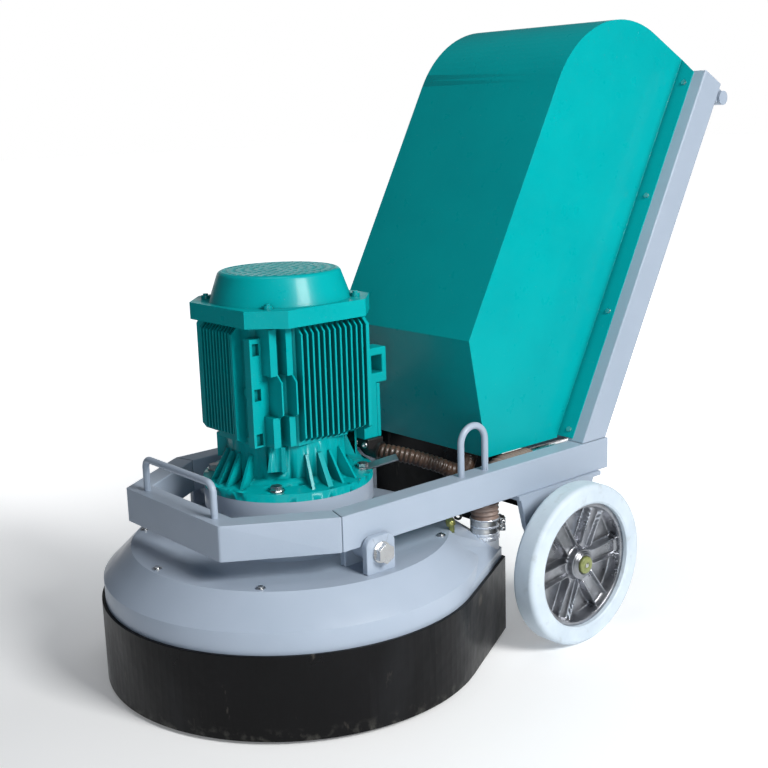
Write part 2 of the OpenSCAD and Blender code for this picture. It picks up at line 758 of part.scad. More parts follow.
module control_tray() {
    color(dark) placed() leaning() difference() {
        union() {
            translate([-tray_half, tray_t[0], hood_top - tray_depth]) cube([2 * tray_half, tray_t[1] - tray_t[0],
                tray_depth]);
            translate([-tray_half - 8, tray_t[0] - 5, hood_top])
                cube([2 * tray_half + 16, tray_t[1] - tray_t[0] + 16, 1.5]);
        }
        translate([-tray_half + 3, tray_t[0] + 3, hood_top - tray_depth + 3])
            cube([2 * tray_half - 6, tray_t[1] - tray_t[0] - 6, tray_depth + 10]);
        for (x = control_x) translate([x, control_t, hood_top - tray_depth - 5]) cylinder(r = 11.2, h = 20);
    }
}
control_x = [-105, -35, 35, 105];
control_t = -59;
module at_control(i) {
    placed() leaning() translate([control_x[i], control_t, hood_top - tray_depth + 3]) children();
}
module emergency_stop() {
    color("red") at_control(0) {
        translate([0, 0, -22]) cylinder(r = 11, h = 30);
        translate([0, 0, 8]) cylinder(r = 20, h = 14);
    }
}
module start_button() {
    color("green") at_control(1) {
        translate([0, 0, -22]) cylinder(r = 11, h = 26);
        translate([0, 0, 3]) cylinder(r = 14, h = 6);
    }
}
module stop_button() {
    color("red") at_control(2) {
        translate([0, 0, -22]) cylinder(r = 11, h = 26);
        translate([0, 0, 3]) cylinder(r = 14, h = 6);
    }
}
module speed_knob() {
    color(dark) at_control(3) {
        translate([0, 0, -22]) cylinder(r = 11, h = 23);
        translate([0, 0, 0.3]) cylinder(r = 17, h = 16);
        translate([-1.5, 0, 12]) cube([3, 16, 6]);
    }
}
module main_switch() {
    color([0.8, 0.1, 0.1]) placed() leaning() translate([0, sheet, 560]) rotate([-90, 0, 0]) {
        translate([0, 0, -12]) cylinder(r = 11.9, h = 12.4);
        translate([0, 0, 0.3]) cylinder(r = 26, h = 8);
        translate([-7, -24, 8]) cube([14, 48, 16]);
    }
}
module mains_inlet() {
    color([0.1, 0.2, 0.6]) placed() leaning() translate([-90, sheet, 90]) rotate([-90, 0, 0]) difference() {
        union() {
            translate([-32, -32, 0]) cube([64, 64, 8]);
            translate([0, 0, -14]) cylinder(r = 24, h = 22);
            cylinder(r = 29, h = 46);
        }
        translate([0, 0, 10]) cylinder(r = 24, h = 60);
    }
}

// ---------------------------------------------------------------- dust extraction and conduit

module hose_spigot() {
    color(paint) placed() translate([spigot.x, spigot.y, 0]) rotate_extrude() polygon([
        [spigot_r - 2, spigot_base - 18], [hose_r, spigot_base - 18], [hose_r, spigot_lip], [spigot_r, spigot_lip],
        [spigot_r, 248], [spigot_r - 2, 248]]);
}
module hose_clamps() {
    color(steel) placed() translate([spigot.x, spigot.y, 0]) {
        for (z = [204, 218]) {
            ring(hose_r, hose_r + 1.2, z, 9);
            rotate(55) translate([hose_r + 1.2, -8, z - 1]) cube([10, 16, 11]);
        }
    }
}
module extraction_hose() {
    hose_low = 196;
    color([0.45, 0.36, 0.32]) placed() translate([spigot.x, spigot.y, 0]) {
        ring(hose_in_r, hose_r, hose_low, hose_bend_z - hose_low);
        translate([0, hose_bend, hose_bend_z]) rotate([90, 0, -90])
            rotate_extrude(angle = 90) translate([hose_bend, 0]) difference() {
                circle(r = hose_r);
                circle(r = hose_in_r);
            }
        translate([0, hose_bend, hose_z]) rotate([-90, 0, 0]) ring(hose_in_r, hose_r, 0, hose_bend);
    }
}
module vacuum_pipe() {
    color(steel) placed() translate([spigot.x, spigot.y + hose_bend + 30, hose_z]) rotate([-90, 0, 0])
        rotate_extrude() polygon([
            [spigot_r - 2, 0], [spigot_r, 0], [spigot_r, pipe_len - port_len], [port_r, pipe_len - port_len],
            [port_r, pipe_len], [spigot_r - 2, pipe_len]]);
}
conduit_r = 14;
// Points along the middle of the motor's conduit, from the terminal box to the hood
conduit_path = [[46, 146, box_low - 0.1], [46, 146, 381], [52, 148, 371], [72, 156, 366], [90, 166, 364],
    [106, 177, 361], [122, 189, 357], [138, 204, 350], [150, 222, 342], [158, 244, 330], [157, 266, 321],
    [150, 286, 317], [140, 304, 318], [130, 320, 324], [124, 332, 336], [122, 336, 352]];
module motor_conduit() {
    sides = 12;
    n = len(conduit_path);
    tangent = [for (i = [0:n - 1]) unit(conduit_path[min(i + 1, n - 1)] - conduit_path[max(i - 1, 0)])];
    points = [for (i = [0:n - 1]) let (
        u = unit(cross(tangent[i], [0.3, -1, 0.2])),
        v = cross(tangent[i], u),
        r = i < 3 ? conduit_r + 3 : conduit_r
    ) each [for (k = [0:sides - 1]) conduit_path[i] + r * (cos(360 * k / sides) * u
        + sin(360 * k / sides) * v)]];
    color([0.28, 0.2, 0.15]) placed() polyhedron(points, concat(
        [[for (k = [0:sides - 1]) k]],
        [for (i = [0:n - 2]) for (k = [0:sides - 1])
            [i * sides + k, (i + 1) * sides + k, (i + 1) * sides + (k + 1) % sides]],
        [for (i = [0:n - 2]) for (k = [0:sides - 1])
            [i * sides + k, (i + 1) * sides + (k + 1) % sides, i * sides + (k + 1) % sides]],
        [[for (k = [sides - 1:-1:0]) (n - 1) * sides + k]]));
}

shroud();
skirt();
shroud_screws();
pivot_lugs();
pivot_bolts();
gear_case();
ring_gear();
centre_gear();
end_shield();
stator_housing();
stator_core();
terminal_box();
terminal_box_lid();
fan_cowl();
flange_bolts();
hose_spigot();
hose_clamps();
drive_bearings();
carrier_plate();
drive_shaft();
satellite(0);  // satellite_1
satellite(1);  // satellite_2
satellite(2);  // satellite_3
tool_disc(0);  // tool_disc_1
tool_disc(1);  // tool_disc_2
tool_disc(2);  // tool_disc_3
planet_gear(0);  // planet_gear_1
planet_gear(1);  // planet_gear_2
planet_gear(2);  // planet_gear_3
rotor_shaft();
rotor_core();
cooling_fan();
side_rails();
front_frame();
uprights();
splash_flap();
pivot_tongues();
front_handle();
lifting_eyes();
rear_handle();
wheel_brackets();
axles();
mirror([1, 0, 0]) tyre();  // tyre_left
tyre();  // tyre_right
mirror([1, 0, 0]) hub();  // hub_left
hub();  // hub_right
hood();
hood_screws();
back_panel();
inverter();
control_tray();
emergency_stop();
start_button();
stop_button();
speed_knob();
main_switch();
mains_inlet();
vacuum_pipe();
extraction_hose();
motor_conduit();
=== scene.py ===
import json
import math

import bmesh
import bpy
from mathutils import Matrix, Vector


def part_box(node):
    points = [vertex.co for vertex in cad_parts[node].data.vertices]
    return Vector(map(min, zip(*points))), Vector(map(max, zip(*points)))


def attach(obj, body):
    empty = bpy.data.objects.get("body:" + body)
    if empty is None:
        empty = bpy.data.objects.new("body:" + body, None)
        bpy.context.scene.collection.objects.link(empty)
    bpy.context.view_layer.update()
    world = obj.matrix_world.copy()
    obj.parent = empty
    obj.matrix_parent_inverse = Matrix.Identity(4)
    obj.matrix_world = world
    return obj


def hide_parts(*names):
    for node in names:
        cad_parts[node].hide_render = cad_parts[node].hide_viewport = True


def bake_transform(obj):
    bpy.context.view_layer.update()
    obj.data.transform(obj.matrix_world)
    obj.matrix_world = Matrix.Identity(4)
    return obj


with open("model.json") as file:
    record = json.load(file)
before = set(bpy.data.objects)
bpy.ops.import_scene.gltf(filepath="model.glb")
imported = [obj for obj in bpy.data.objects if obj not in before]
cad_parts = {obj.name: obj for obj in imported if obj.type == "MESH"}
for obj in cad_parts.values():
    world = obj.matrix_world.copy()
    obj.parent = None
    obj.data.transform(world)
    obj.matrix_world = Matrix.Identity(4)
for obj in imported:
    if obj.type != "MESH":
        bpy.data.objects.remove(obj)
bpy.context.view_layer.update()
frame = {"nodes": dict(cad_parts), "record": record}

nodes = frame["nodes"]

MM = 0.001
# The head's axis, taken from the frame: the skirt is round in front and its radius is half its width
skirt_low, skirt_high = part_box("skirt")
HEAD_Y = skirt_low.y + (skirt_high.x - skirt_low.x) / 2
# The places below are in machine millimetres: from the head's axis, on the floor
WHEEL_Y, WHEEL_Z = 408, 150
HOSE_X, HOSE_Y = 183, 308
HOSE_BEND = 60
HOSE_BEND_Z = 252
HOSE_Z = HOSE_BEND_Z + HOSE_BEND
FLAP_Y = 384

# ------------------------------------------------------------------ camera and light

# From the camera into the scene, on the floor: the side where the backdrop is
BACKWARD = (-0.76, 0.65, 0.0)
SIDEWAYS = (BACKWARD[1], -BACKWARD[0], 0)
CAMERA_PLACE = (1.6928, HEAD_Y - 1.2170, 0.9643)
CAMERA_AZIMUTH, CAMERA_ELEVATION, CAMERA_ROLL = 49.49, 12.59, -1.76
CAMERA_LENS = 56.97


def direction(azimuth, elevation):
    """From the object towards a viewer; azimuth 0 is the front (-Y), 90 the right side (+X)."""
    a, e = math.radians(azimuth), math.radians(elevation)
    return Vector((math.sin(a) * math.cos(e), -math.cos(a) * math.cos(e), math.sin(e)))


def make_camera():
    data = bpy.data.cameras.new("camera")
    data.sensor_width = 36
    data.lens = CAMERA_LENS
    data.clip_end = 50
    cam = bpy.data.objects.new("camera", data)
    bpy.context.scene.collection.objects.link(cam)
    back = direction(CAMERA_AZIMUTH, CAMERA_ELEVATION)
    level = (-back).to_track_quat("-Z", "Y").to_matrix().to_4x4()
    roll = Matrix.Rotation(math.radians(CAMERA_ROLL), 4, "Z")
    cam.matrix_world = Matrix.Translation(CAMERA_PLACE) @ level @ roll
    bpy.context.scene.camera = cam


def area_light(name, place, target, size, power, color=(1, 1, 1)):
    data = bpy.data.lights.new(name, "AREA")
    data.shape = "RECTANGLE"
    data.size, data.size_y = size
    data.energy = power
    data.color = color
    light = bpy.data.objects.new(name, data)
    bpy.context.scene.collection.objects.link(light)
    light.location = place
    light.rotation_euler = (Vector(target) - Vector(place)).to_track_quat("-Z", "Y").to_euler()


def along(tree, vector, axis):
    """How far a vector socket reaches along a fixed axis."""
    dot = tree.nodes.new("ShaderNodeVectorMath")
    dot.operation = "DOT_PRODUCT"
    dot.inputs[1].default_value = axis
    tree.links.new(vector, dot.inputs[0])
    return dot.outputs["Value"]


def step(tree, value, start, end, low=0.0, high=1.0):
    """A smooth change from low to high as a socket's value goes from start to end."""
    made = tree.nodes.new("ShaderNodeMapRange")
    made.interpolation_type = "SMOOTHSTEP"
    made.inputs["From Min"].default_value = start
    made.inputs["From Max"].default_value = end
    made.inputs["To Min"].default_value = low
    made.inputs["To Max"].default_value = high
    tree.links.new(value, made.inputs["Value"])
    return made.outputs["Result"]


def calc(tree, kind, a, b):
    """A maths node; a and b are numbers or sockets."""
    made = tree.nodes.new("ShaderNodeMath")
    made.operation = kind
    for socket, value in zip(made.inputs, (a, b)):
        if isinstance(value, (int, float)):
            socket.default_value = value
        else:
            tree.links.new(value, socket)
    return made.outputs["Value"]


def blend_tones(tree, factor, first, last):
    """A colour socket that goes from first to last as the factor socket goes from 0 to 1."""
    made = tree.nodes.new("ShaderNodeMix")
    made.data_type = "RGBA"
    made.inputs[6].default_value = (*first, 1)
    made.inputs[7].default_value = (*last, 1)
    tree.links.new(factor, made.inputs["Factor"])
    return made.outputs[2]


def make_world():
    """A dim studio with a white backdrop low down behind the machine, so that front faces fall into shade."""
    world = bpy.data.worlds.new("studio")
    bpy.context.scene.world = world
    world.use_nodes = True
    tree = world.node_tree
    sky = tree.nodes["Background"]
    place = tree.nodes.new("ShaderNodeTexCoord").outputs["Generated"]
    white = calc(tree, "MULTIPLY", step(tree, along(tree, place, BACKWARD), 0.78, 0.90),
                 step(tree, along(tree, place, (0, 0, 1)), 0.15, 0.20, 1.0, 0.0))
    tree.links.new(blend_tones(tree, white, (0.060, 0.068, 0.082), (1.0, 1.0, 1.0)), sky.inputs["Color"])
    sky.inputs["Strength"].default_value = 1.0


def make_floor():
    """A floor with a pale sweep that widens and glows into the white backdrop, and grey to either side."""
    mesh = bpy.data.meshes.new("floor")
    edge = 30
    corners = [(-edge, -edge, 0), (edge, -edge, 0), (edge, edge, 0), (-edge, edge, 0)]
    mesh.from_pydata(corners, [], [(0, 1, 2, 3)])
    floor = bpy.data.objects.new("floor", mesh)
    bpy.context.scene.collection.objects.link(floor)
    mat = bpy.data.materials.new("floor")
    mat.use_nodes = True
    tree = mat.node_tree
    shader = tree.nodes["Principled BSDF"]
    shader.inputs["Roughness"].default_value = 0.8
    shader.inputs["Specular IOR Level"].default_value = 0.2
    shader.inputs["Emission Color"].default_value = (1.0, 1.0, 1.0, 1)
    place = tree.nodes.new("ShaderNodeTexCoord").outputs["Object"]
    back = along(tree, place, BACKWARD)
    side = calc(tree, "ABSOLUTE", along(tree, place, SIDEWAYS), 0)
    # The sweep starts as a point 2.6 m in front of the origin and widens by 0.36 m a metre to either side
    half_width = calc(tree, "MULTIPLY", calc(tree, "ADD", back, 2.6), 0.36)
    sweep = step(tree, calc(tree, "SUBTRACT", side, half_width), 0.0, 0.9, 1.0, 0.0)
    tones = blend_tones(tree, sweep, (0.20, 0.21, 0.22), (0.80, 0.81, 0.82))
    tree.links.new(tones, shader.inputs["Base Color"])
    glow = calc(tree, "MULTIPLY", sweep, step(tree, back, -0.5, 1.8, 0.15, 1.0))
    tree.links.new(glow, shader.inputs["Emission Strength"])
    mesh.materials.append(mat)


def make_stage():
    make_world()
    area_light("key", (3.3, 0.05, 2.5), (0, 0.05, 0.4), (1.3, 1.2), 165, (1.0, 0.99, 0.97))
    area_light("panel", (2.5, -2.15, 0.75), (0, 0, 0.45), (1.0, 0.9), 17, (0.86, 0.94, 1.0))
    area_light("top", (0.3, -0.7, 3.2), (0, 0, 0.2), (1.4, 1.4), 12)
    area_light("rear", (-1.2, 3.4, 2.2), (0, 0.2, 0.5), (1.6, 1.2), 20, (0.96, 0.98, 1.0))
    make_floor()
    view = bpy.context.scene.view_settings
    view.view_transform = "Standard"
    view.look = "None"


# ------------------------------------------------------------------ materials


def rgb(red, green, blue):
    """A colour given as it looks on screen, 0 to 255, as a linear one."""
    shares = [c / 255 for c in (red, green, blue)]
    return tuple(c / 12.92 if c < 0.0404 else ((c + 0.055) / 1.055) ** 2.4 for c in shares)


class Surface:
    """A node-based material, built up in layers of noise over one principled shader."""

    def __init__(self, name, roughness, metallic=0.0, coat=0.0, specular=0.5):
        self.mat = bpy.data.materials.new(name)
        self.mat.use_nodes = True
        self.tree = self.mat.node_tree
        self.shader = self.tree.nodes["Principled BSDF"]
        self.shader.inputs["Metallic"].default_value = metallic
        self.shader.inputs["Roughness"].default_value = roughness
        self.shader.inputs["Coat Weight"].default_value = coat
        self.shader.inputs["Coat Roughness"].default_value = 0.12
        self.shader.inputs["Specular IOR Level"].default_value = specular
        self.place = self.node("ShaderNodeTexCoord").outputs["Object"]
        self.color = None
        self.height = None

    def node(self, kind, **values):
        made = self.tree.nodes.new(kind)
        for key, value in values.items():
            setattr(made, key, value)
        return made

    def link(self, a, b):
        self.tree.links.new(a, b)

    def noise(self, scale, detail=4, stretch=(1, 1, 1)):
        mapping = self.node("ShaderNodeMapping")
        mapping.inputs["Scale"].default_value = stretch
        self.link(self.place, mapping.inputs["Vector"])
        tex = self.node("ShaderNodeTexNoise")
        tex.inputs["Scale"].default_value = scale
        tex.inputs["Detail"].default_value = detail
        tex.inputs["Roughness"].default_value = 0.55
        self.link(mapping.outputs["Vector"], tex.inputs["Vector"])
        return tex.outputs["Fac"]

    def ramp(self, factor, low, high, first=(0, 0, 0), last=(1, 1, 1)):
        made = self.node("ShaderNodeValToRGB")
        made.color_ramp.elements[0].position = low
        made.color_ramp.elements[1].position = high
        made.color_ramp.elements[0].color = (*first, 1)
        made.color_ramp.elements[1].color = (*last, 1)
        self.link(factor, made.inputs["Fac"])
        return made.outputs["Color"]

    def share(self, factor, amount):
        """A factor socket times a number or another socket."""
        return calc(self.tree, "MULTIPLY", factor, amount)

    def tones(self, first, last, scale, **noise_values):
        """Base colour that wanders between two tones."""
        self.color = self.ramp(self.noise(scale, **noise_values), 0.35, 0.65, first, last)

    def over(self, factor, color):
        """Lays a colour over the base colour where the factor is high."""
        made = self.node("ShaderNodeMix", data_type="RGBA")
        self.link(factor, made.inputs["Factor"])
        self.link(self.color, made.inputs[6])
        made.inputs[7].default_value = (*color, 1)
        self.color = made.outputs[2]

    def rough(self, low, high, scale, **noise_values):
        """Roughness that wanders between two values."""
        grey = self.ramp(self.noise(scale, **noise_values), 0.3, 0.7, (low,) * 3, (high,) * 3)
        self.link(grey, self.shader.inputs["Roughness"])

    def bump(self, scale, distance, **noise_values):
        """Relief of the depth given in metres, over any that is already there."""
        made = self.node("ShaderNodeBump")
        made.inputs["Distance"].default_value = distance
        self.link(self.noise(scale, **noise_values), made.inputs["Height"])
        if self.height is not None:
            self.link(self.height, made.inputs["Normal"])
        self.height = made.outputs["Normal"]

    def low_down(self, start, end):
        """1 at height start and below, falling to 0 at height end."""
        split = self.node("ShaderNodeSeparateXYZ")
        self.link(self.place, split.inputs["Vector"])
        ramp = self.node("ShaderNodeMapRange")
        ramp.inputs["From Min"].default_value = start
        ramp.inputs["From Max"].default_value = end
        ramp.inputs["To Min"].default_value = 1
        ramp.inputs["To Max"].default_value = 0
        self.link(split.outputs["Z"], ramp.inputs["Value"])
        return ramp.outputs["Result"]

    def paint_crevice_shade(self, reach, depth):
        """Painted shade: darkens the base colour in narrow gaps and inside corners."""
        shelter = self.node("ShaderNodeAmbientOcclusion", samples=6, only_local=True)
        shelter.inputs["Distance"].default_value = reach
        # painted shade: a near-black teal laid over the base colour where a gap or inside corner is narrow
        self.over(self.ramp(shelter.outputs["AO"], 0.25, 0.85, (depth,) * 3, (0, 0, 0)), (0.0, 0.012, 0.014))

    def done(self):
        if self.color is not None:
            self.link(self.color, self.shader.inputs["Base Color"])
        if self.height is not None:
            self.link(self.height, self.shader.inputs["Normal"])
        return self.mat


def painted(name, tone, shade, roughness, shine):
    """Sprayed enamel: two close tones, orange peel, a few specks of grinding dust, and painted shade in its
    gaps and inside corners.
    """
    made = Surface(name, roughness, coat=0.1, specular=shine)
    made.tones(shade, tone, 5, detail=3)
    specks = made.ramp(made.noise(420, detail=2), 0.70, 0.76)
    made.over(made.share(specks, 0.22), rgb(190, 196, 196))
    # painted shade in the paint's narrow gaps and inside corners
    made.paint_crevice_shade(0.022, 0.68)
    made.rough(roughness - 0.06, roughness + 0.08, 30)
    made.bump(260, 0.00010, detail=2)
    return made.done()


def rubber_skirt():
    """Glossy wavy rubber with pale scuffs, and dust along its lower edge."""
    made = Surface("black_rubber", 0.3, specular=0.15)
    made.tones(rgb(6, 6, 7), rgb(14, 14, 16), 3, detail=5)
    streaks = made.ramp(made.noise(7, stretch=(1, 1, 0.22), detail=7), 0.56, 0.78)
    made.over(made.share(streaks, 0.03), rgb(150, 156, 165))
    scuffs = made.ramp(made.noise(34, stretch=(1, 1, 0.4), detail=8), 0.64, 0.72)
    made.over(made.share(scuffs, 0.12), rgb(166, 158, 146))
    dust = made.share(made.low_down(0.004, 0.03), made.ramp(made.noise(60), 0.5, 0.75))
    made.over(made.share(dust, 0.25), rgb(150, 148, 140))
    made.rough(0.22, 0.44, 7, detail=6)
    made.bump(9, 0.0035, detail=3)
    made.bump(60, 0.00022, detail=4)
    return made.done()


def grey_tyre():
    made = Surface("grey_tyre", 0.55, specular=0.4)
    made.tones(rgb(186, 199, 210), rgb(202, 214, 224), 12, detail=5)
    scuffs = made.ramp(made.noise(45, detail=6), 0.58, 0.75)
    made.over(made.share(scuffs, 0.3), rgb(128, 130, 126))
    made.bump(240, 0.00015, detail=3)
    return made.done()


def cast_aluminium():
    made = Surface("cast_aluminium", 0.3, metallic=1.0)
    made.tones(rgb(128, 130, 134), rgb(176, 178, 184), 18, detail=5)
    made.rough(0.22, 0.42, 22, detail=5)
    made.bump(160, 0.00035, detail=4)
    return made.done()


def metal(name, first, last, roughness, grain=(1, 1, 1), scale=120, bump=0.00006):
    """Bare metal; grain above 1 along an axis draws its marks across that axis."""
    made = Surface(name, roughness, metallic=1.0)
    made.tones(first, last, scale / 6, stretch=grain, detail=5)
    made.rough(roughness - 0.08, roughness + 0.12, scale / 3, stretch=grain, detail=4)
    made.bump(scale, bump, stretch=grain, detail=3)
    return made.done()


def plastic(name, first, last, roughness):
    made = Surface(name, roughness)
    made.tones(first, last, 25, detail=4)
    made.rough(roughness - 0.06, roughness + 0.08, 60)
    made.bump(700, 0.00005, detail=2)
    return made.done()


def make_materials():
    return {
        "teal_paint": painted("teal_paint", rgb(0, 161, 164), rgb(0, 155, 159), 0.32, 0.16),
        "grey_paint": painted("grey_paint", rgb(163, 175, 191), rgb(157, 170, 186), 0.36, 0.4),
        "black_rubber": rubber_skirt(),
        "bright_steel": metal("bright_steel", rgb(185, 186, 188), rgb(214, 214, 212), 0.28),
        "machined_steel": metal("machined_steel", rgb(150, 152, 156), rgb(182, 183, 186), 0.3,
                                grain=(1, 1, 12)),
        "copper_winding": metal("copper_winding", rgb(140, 80, 45), rgb(184, 112, 66), 0.4, grain=(1, 1, 20)),
        "cast_plate": metal("cast_plate", rgb(84, 86, 90), rgb(118, 120, 124), 0.5, scale=200, bump=0.0003),
        "diamond_disc": metal("diamond_disc", rgb(110, 108, 104), rgb(150, 148, 144), 0.5, scale=500,
                              bump=0.0003),
        "cast_aluminium": cast_aluminium(),
        "grey_tyre": grey_tyre(),
        "black_plastic": plastic("black_plastic", rgb(18, 17, 17), rgb(30, 28, 28), 0.4),
        "red_plastic": plastic("red_plastic", rgb(190, 18, 14), rgb(205, 28, 20), 0.28),
        "green_plastic": plastic("green_plastic", rgb(20, 130, 50), rgb(30, 148, 62), 0.3),
        "blue_plastic": plastic("blue_plastic", rgb(18, 62, 140), rgb(26, 76, 158), 0.4),
        "grey_hose": plastic("grey_hose", rgb(104, 88, 80), rgb(134, 116, 106), 0.4),
        "brown_conduit": plastic("brown_conduit", rgb(62, 44, 34), rgb(92, 68, 52), 0.38),
    }


def sleeve_skin():
    """Pale painted sleeve that the dust hose is pushed on to."""
    made = Surface("sleeve_skin", 0.42, metallic=0.15)
    made.tones(rgb(172, 178, 186), rgb(196, 202, 210), 20, detail=5)
    made.bump(300, 0.0001)
    return made.done()


# ------------------------------------------------------------------ CAD nodes


def finish_cad():
    """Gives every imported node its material, and bevelled edges where a width in millimetres is given."""
    bevels = {
        "hood": 2.5, "side_rails": 3, "front_frame": 3, "uprights": 3, "fan_cowl": 1.0, "terminal_box": 2,
        "terminal_box_lid": 2, "stator_housing": 0.8, "end_shield": 1.5, "shroud": 1.5, "pivot_lugs": 2,
        "wheel_brackets": 1, "gear_case": 1.5, "flange_bolts": 0.7, "pivot_bolts": 1, "emergency_stop": 2.5,
        "start_button": 1, "stop_button": 1, "speed_knob": 1, "main_switch": 1.5, "mains_inlet": 1.5,
        "control_tray": 1, "inverter": 2, "tyre_left": 0.5, "tyre_right": 0.5, "skirt": 0.8,
    }
    for part in frame["record"]["subparts"]:
        obj = nodes[part["node"]]
        skin = sleeve_skin() if part["node"] == "hose_spigot" else materials[part["material_slot"]]
        obj.data.materials.clear()
        obj.data.materials.append(skin)
        weld = obj.modifiers.new("weld", "WELD")
        weld.merge_threshold = 0.00002
        if part["node"] in bevels:
            soften(obj, bevels[part["node"]], 3)


# ------------------------------------------------------------------ building pieces


def machine(x, y, z):
    """Machine millimetres, measured from the head's axis on the floor, to the row frame."""
    return Vector((x * MM, HEAD_Y + y * MM, z * MM))


def piece(name, points, faces, material, smooth=True):
    """A new object from points in metres and its faces."""
    mesh = bpy.data.meshes.new(name)
    mesh.from_pydata([tuple(p) for p in points], [], faces)
    mesh.validate()
    build = bmesh.new()
    build.from_mesh(mesh)
    bmesh.ops.recalc_face_normals(build, faces=build.faces)
    build.to_mesh(mesh)
    build.free()
    for face in mesh.polygons:
        face.use_smooth = smooth
    mesh.materials.append(material)
    made = bpy.data.objects.new(name, mesh)
    bpy.context.scene.collection.objects.link(made)
    return made


def soften(obj, width, segments=2):
    """Bevels the sharp edges, to a width in millimetres."""
    bevel = obj.modifiers.new("bevel", "BEVEL")
    bevel.width = width * MM
    bevel.segments = segments
    bevel.limit_method = "ANGLE"
    bevel.angle_limit = math.radians(32)


def axes_for(heading):
    """A frame whose Z is the direction given."""
    return Vector(heading).normalized().to_track_quat("Z", "Y").to_matrix().to_4x4()


def lathe_data(profile, sides, place):
    """A closed turned body from [(radius, height), ...] in millimetres, its ends on the axis or not."""
    points, faces = [], []
    for r, h in profile:
        for k in range(sides):
            a = 2 * math.pi * k / sides
            points.append(place @ Vector((r * math.cos(a) * MM, r * math.sin(a) * MM, h * MM)))
    rings = len(profile)
    for i in range(rings - 1):
        for k in range(sides):
            n = (k + 1) % sides
            faces.append((i * sides + k, i * sides + n, (i + 1) * sides + n, (i + 1) * sides + k))
    faces.append(tuple(range(sides)))
    faces.append(tuple((rings - 1) * sides + k for k in range(sides)))
    return points, faces


def lathe(name, profile, sides, place, material):
    return piece(name, *lathe_data(profile, sides, place), material)


def turned(name, spot, heading, profile, material, body, sides=32):
    """A turned piece standing at a machine point, its axis along heading."""
    made = lathe(name, profile, sides, Matrix.Translation(machine(*spot)) @ axes_for(heading), material)
    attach(made, body)
    return made


def box_data(low, high):
    (x0, y0, z0), (x1, y1, z1) = low, high
    points = [Vector(p) for p in ((x0, y0, z0), (x1, y0, z0), (x1, y1, z0), (x0, y1, z0),
                                  (x0, y0, z1), (x1, y0, z1), (x1, y1, z1), (x0, y1, z1))]
    return points, [(0, 3, 2, 1), (4, 5, 6, 7), (0, 1, 5, 4), (1, 2, 6, 5), (2, 3, 7, 6), (3, 0, 4, 7)]


def smooth_path(path):
    """Twelve points for each stretch of a path, on a curve through all its points."""
    dense = []
    for i in range(len(path) - 1):
        p0 = path[max(i - 1, 0)]
        p1, p2 = path[i], path[i + 1]
        p3 = path[min(i + 2, len(path) - 1)]
        for k in range(12):
            t = k / 12
            dense.append(0.5 * (2 * p1 + (p2 - p0) * t + (2 * p0 - 5 * p1 + 4 * p2 - p3) * t * t
                                + (3 * p1 - p0 - 3 * p2 + p3) * t * t * t))
    dense.append(path[-1])
    return dense


def sweep_data(path, radius_at, sides, step_length):
    """A tube along a path in metres; radius_at gives its radius from a length and the whole length, in mm."""
    dense = smooth_path(path)
    lengths = [0]
    for i in range(1, len(dense)):
        lengths.append(lengths[-1] + (dense[i] - dense[i - 1]).length)
    total = lengths[-1]
    count = max(2, int(total / (step_length * MM)))
    points, faces = [], []
    at = 0
    side = None
    for i in range(count + 1):
        want = total * i / count
        while at < len(lengths) - 2 and lengths[at + 1] < want:
            at += 1
        share = (want - lengths[at]) / max(lengths[at + 1] - lengths[at], 1e-9)
        centre = dense[at].lerp(dense[at + 1], share)
        ahead = (dense[min(at + 2, len(dense) - 1)] - dense[max(at - 1, 0)]).normalized()
        if side is None:
            side = ahead.orthogonal().normalized()
        side = (side - ahead * side.dot(ahead)).normalized()
        other = ahead.cross(side)
        r = radius_at(want / MM, total / MM) * MM
        for k in range(sides):
            a = 2 * math.pi * k / sides
            points.append(centre + side * (r * math.cos(a)) + other * (r * math.sin(a)))
    for i in range(count):
        for k in range(sides):
            n = (k + 1) % sides
            faces.append((i * sides + k, i * sides + n, (i + 1) * sides + n, (i + 1) * sides + k))
    faces.append(tuple(range(sides)))
    faces.append(tuple(count * sides + k for k in range(sides)))
    return points, faces


def smooth_step(low, high, value):
    t = min(1.0, max(0.0, (value - low) / (high - low)))
    return t * t * (3 - 2 * t)


# ------------------------------------------------------------------ wheel hubs

HUB_RIM = 115
BOSS_R = 26
HUB_SIDES = 480
# The castings' middle planes and the caps' inner faces, in metres from the machine's middle
HUB_X, CAP_X = 0.308, 0.335
# Radii of the rings of points, close together where the face steps up or down
WEB_START, WEB_END = 34, 100
BOSS_RINGS = [6, 14, 15.8, 16.6, 17.4, 18.5, 20.4, 20.8, 22.5, 23.8, 24.4, 25, 25.6, 26.6, 27.6, 28.6, 29.8,
              31, 32.2, 33.4]
EDGE_RINGS = [WEB_END, 101.5, 103, 104.5, 106, 107.2, 108.2, 109, 111, 113.5, HUB_RIM - 0.4]
# [radius, height] outlines of the cap on a hub and of the pin in its middle
CAP_PROFILE = [(15.8, 0), (15.8, 6.4), (15.3, 7.6), (14, 8.4), (9, 8.9), (5.4, 9), (4.8, 8.2), (0.4, 8.0)]
PIN_PROFILE = [(4.2, 7.6), (4.2, 8.9), (3.4, 9.5), (0.3, 9.7)]


